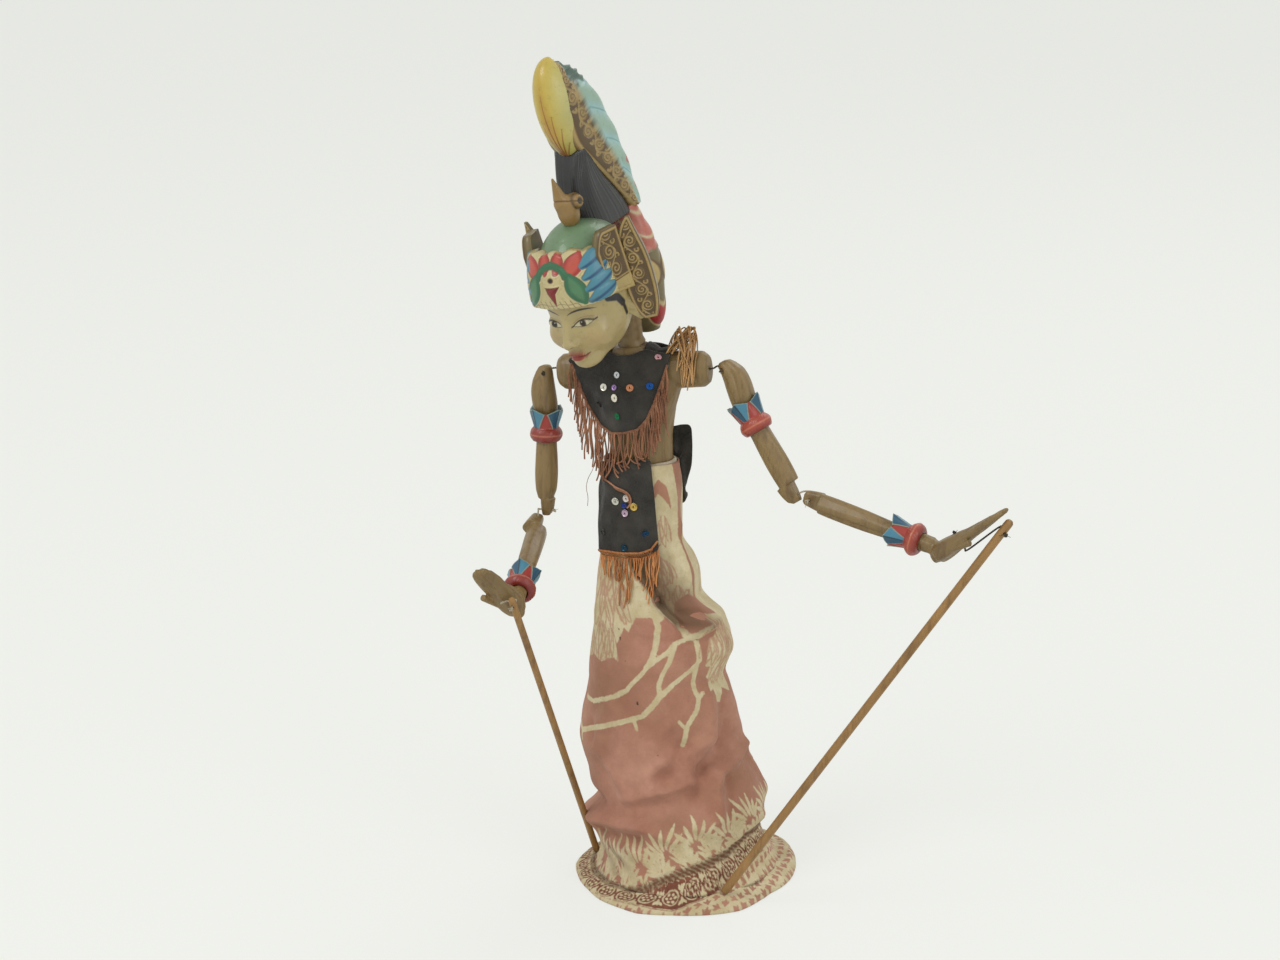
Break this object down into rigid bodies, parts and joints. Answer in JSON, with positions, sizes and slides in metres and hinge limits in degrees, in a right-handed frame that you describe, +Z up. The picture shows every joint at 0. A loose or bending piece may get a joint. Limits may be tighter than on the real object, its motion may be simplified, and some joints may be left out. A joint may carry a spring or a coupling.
{
  "type": "rod puppet",
  "caption": "Carved and painted rod puppet with a tall crest, string-jointed arms, thin hand rods and a long batik skirt over a hidden stand.",
  "frame": {"origin": "centre of the stand board's underside, on the floor", "axes": "+Z up, the puppet's torso faces -Y, its own left is +X"},
  "size_m": [0.3461, 0.2269, 0.5751],
  "materials": {
    "varnished_wood": "satin varnish",
    "stand_wood": "bare",
    "rod_wood": "worn",
    "face_paint": "painted cream, worn",
    "cap_paint": "painted green",
    "red_paint": "painted red and blue",
    "hair_paint": "gloss black paint",
    "dome_paint": "painted yellow",
    "gilded_paint": "worn gilding",
    "shell_paint": "painted light blue",
    "velvet": "black velvet",
    "fringe_yarn": "brown-orange yarn",
    "apron_yarn": "orange yarn",
    "batik": "printed cotton",
    "string": "twisted thread"
  },
  "bodies": {
    "stand": {"stand_board": "stand_wood", "stand_socket": "stand_wood"},
    "torso": {"torso": "varnished_wood", "waist_band": "string", "skirt": "batik", "skirt_border": "batik", "chest_bib": "velvet", "back_bib": "velvet", "bib_fringe": "fringe_yarn", "apron": "velvet", "apron_fringe": "apron_yarn", "back_panel": "velvet"},
    "head": {"central_rod": "rod_wood", "head": "face_paint", "cap": "cap_paint", "diadem": "red_paint", "crest_hair": "hair_paint", "crest_shell": "gilded_paint", "crest_dome": "dome_paint", "bird_finial": "gilded_paint", "nape_ornament": "shell_paint", "left_ear_panel": "gilded_paint", "left_ear_wing": "gilded_paint", "right_ear_panel": "gilded_paint", "right_ear_wing": "gilded_paint"},
    "left_shoulder_tie": {"left_shoulder_string": "string"},
    "left_upper_arm": {"left_upper_arm": "varnished_wood", "left_armlet": "red_paint"},
    "left_elbow_tie": {"left_elbow_string": "string"},
    "left_forearm": {"left_forearm": "varnished_wood", "left_bracelet": "red_paint"},
    "left_rod_tie": {"left_rod_string": "string"},
    "left_rod": {"left_hand_rod": "rod_wood"},
    "right_shoulder_tie": {"right_shoulder_string": "string"},
    "right_upper_arm": {"right_upper_arm": "varnished_wood", "right_armlet": "red_paint"},
    "right_elbow_tie": {"right_elbow_string": "string"},
    "right_forearm": {"right_forearm": "varnished_wood", "right_bracelet": "red_paint"},
    "right_rod_tie": {"right_rod_string": "string"},
    "right_rod": {"right_hand_rod": "rod_wood"}
  },
  "joints": [
    {"name": "lift_out", "type": "slide", "parent": "stand", "child": "torso", "axis": [-0.0982, -0.0356, 0.9945], "range_m": [0, 0.03]},
    {"name": "head_turn", "type": "hinge", "parent": "torso", "child": "head", "pos_m": [-0.03733, -0.01354, 0.37792], "axis": [-0.0982, -0.0356, 0.9945], "range_deg": [-60, 70]},
    {"name": "left_arm_swing", "type": "hinge", "parent": "torso", "child": "left_shoulder_tie", "pos_m": [0.01817, -0.01309, 0.36532], "axis": [-0.9952, 0.0035, -0.0982], "range_deg": [0, 60]},
    {"name": "left_arm_raise", "type": "hinge", "parent": "left_shoulder_tie", "child": "left_upper_arm", "pos_m": [0.02813, -0.01312, 0.3663], "axis": [-0.0534, -0.9976, 0.045], "range_deg": [0, 50]},
    {"name": "left_elbow_swing", "type": "hinge", "parent": "left_upper_arm", "child": "left_elbow_tie", "pos_m": [0.08151, -0.01963, 0.28537], "axis": [-0.8339, 0.0198, -0.5516], "range_deg": [0, 45]},
    {"name": "left_elbow_bend", "type": "hinge", "parent": "left_elbow_tie", "child": "left_forearm", "pos_m": [0.09181, -0.02087, 0.28373], "axis": [-0.1644, -0.9864, -0.001], "range_deg": [0, 50]},
    {"name": "left_rod_swing", "type": "hinge", "parent": "left_forearm", "child": "left_rod_tie", "pos_m": [0.19874, -0.04038, 0.27163], "axis": [-0.617, 0.1225, 0.7773], "range_deg": [0, 30]},
    {"name": "left_rod_tilt", "type": "hinge", "parent": "left_rod_tie", "child": "left_rod", "pos_m": [0.22792, -0.04552, 0.28267], "axis": [-0.6051, 0.6986, 0.3818], "range_deg": [0, 25]},
    {"name": "right_arm_swing", "type": "hinge", "parent": "torso", "child": "right_shoulder_tie", "pos_m": [-0.0893, -0.01271, 0.35472], "axis": [-0.9952, 0.0035, -0.0982], "range_deg": [0, 60]},
    {"name": "right_arm_raise", "type": "hinge", "parent": "right_shoulder_tie", "child": "right_upper_arm", "pos_m": [-0.09925, -0.01268, 0.35373], "axis": [0.0004, 0.9989, -0.0469], "range_deg": [0, 50]},
    {"name": "right_elbow_swing", "type": "hinge", "parent": "right_upper_arm", "child": "right_elbow_tie", "pos_m": [-0.09878, -0.01722, 0.25709], "axis": [-1, 0.0002, -0.0049], "range_deg": [0, 45]},
    {"name": "right_elbow_bend", "type": "hinge", "parent": "right_elbow_tie", "child": "right_forearm", "pos_m": [-0.10137, -0.02271, 0.24849], "axis": [0.0463, 0.3163, -0.9475], "range_deg": [0, 40]},
    {"name": "right_rod_swing", "type": "hinge", "parent": "right_forearm", "child": "right_rod_tie", "pos_m": [-0.08659, -0.12433, 0.22868], "axis": [-0.2943, 0.7755, 0.5586], "range_deg": [0, 30]},
    {"name": "right_rod_tilt", "type": "hinge", "parent": "right_rod_tie", "child": "right_rod", "pos_m": [-0.07673, -0.13065, 0.22534], "axis": [-0.0275, 0.8835, 0.4677], "range_deg": [0, 30]}
  ]
}
